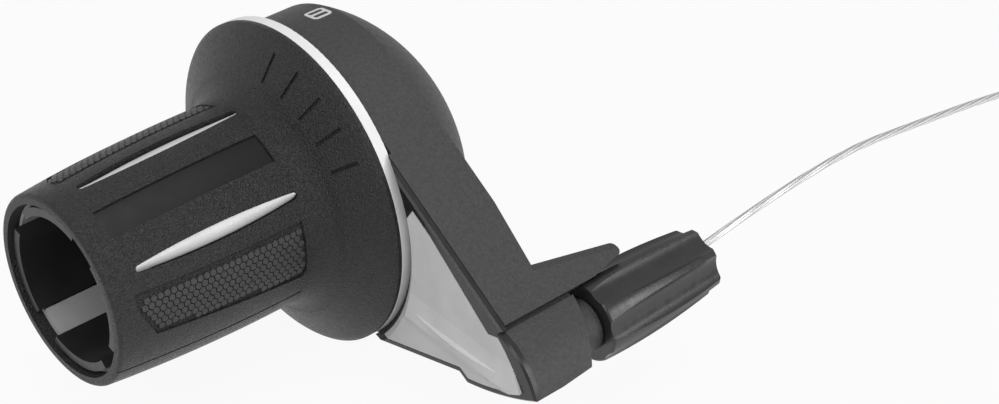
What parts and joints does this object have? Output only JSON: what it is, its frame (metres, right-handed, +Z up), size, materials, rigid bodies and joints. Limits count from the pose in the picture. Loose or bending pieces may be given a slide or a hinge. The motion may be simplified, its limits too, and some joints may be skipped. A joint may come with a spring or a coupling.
{
  "type": "twist grip shifter",
  "caption": "Bicycle twist grip gear shifter: rubber grip with flange turns on the bar, housing with clamp and arm guides the wire through a barrel adjuster.",
  "frame": {"origin": "on the handlebar's axis, at the middle of the housing's clamp collar", "axes": "+X along the handlebar towards its free end, +Y forward, +Z up"},
  "size_m": [0.226, 0.0836, 0.0542],
  "materials": {
    "housing_plastic": "satin moulded black",
    "inner_plastic": "smooth moulded black",
    "guide_plastic": "natural low-friction plastic",
    "silver_plastic": "silver metallic paint",
    "ring_plastic": "light silver",
    "inlay_plastic": "silver",
    "panel_plastic": "gloss black",
    "grip_rubber": "grained black rubber",
    "knob_plastic": "semi-gloss black",
    "wire_steel": "stranded steel wire",
    "spring_steel": "spring steel",
    "screw_steel": "black oxide steel",
    "tie_plastic": "black tie"
  },
  "bodies": {
    "housing": {"housing_body": "housing_plastic", "clamp_screw": "screw_steel", "clamp_nut": "screw_steel", "cable_box": "housing_plastic", "box_screws": "screw_steel", "cable_guide": "guide_plastic", "cover_frame": "housing_plastic", "cover_plate": "silver_plastic", "retainer_ring": "inner_plastic", "detent_spring": "spring_steel", "cable_inner_run": "wire_steel"},
    "grip": {"grip_core": "inner_plastic", "inlay_sleeve": "inlay_plastic", "grip_cover": "grip_rubber", "grip_panel": "panel_plastic", "trim_ring": "ring_plastic", "cable_spool": "guide_plastic", "cable_head": "wire_steel"},
    "adjuster": {"adjuster_knob": "knob_plastic", "adjuster_stem": "inner_plastic"},
    "cable": {"cable_free_run": "wire_steel", "cable_coil": "wire_steel", "cable_tie": "tie_plastic"}
  },
  "joints": [
    {"name": "grip_twist", "type": "hinge", "parent": "housing", "child": "grip", "pos_m": [0, 0, 0], "axis": [1, 0, 0], "range_deg": [0, 70], "deforming": ["detent_spring", "cable_inner_run"]},
    {"name": "cable_pull", "type": "slide", "parent": "housing", "child": "cable", "axis": [0.9889, 0, -0.1483], "range_m": [0, 0.0203]},
    {"name": "adjuster_turn", "type": "hinge", "parent": "housing", "child": "adjuster", "pos_m": [-0.0005, 0.0491, -0.0088], "axis": [1, 0, 0], "continuous": true}
  ],
  "couplings": [
    {"joint": "cable_pull", "follows": "grip_twist", "m_per_rad": 0.0165}
  ]
}
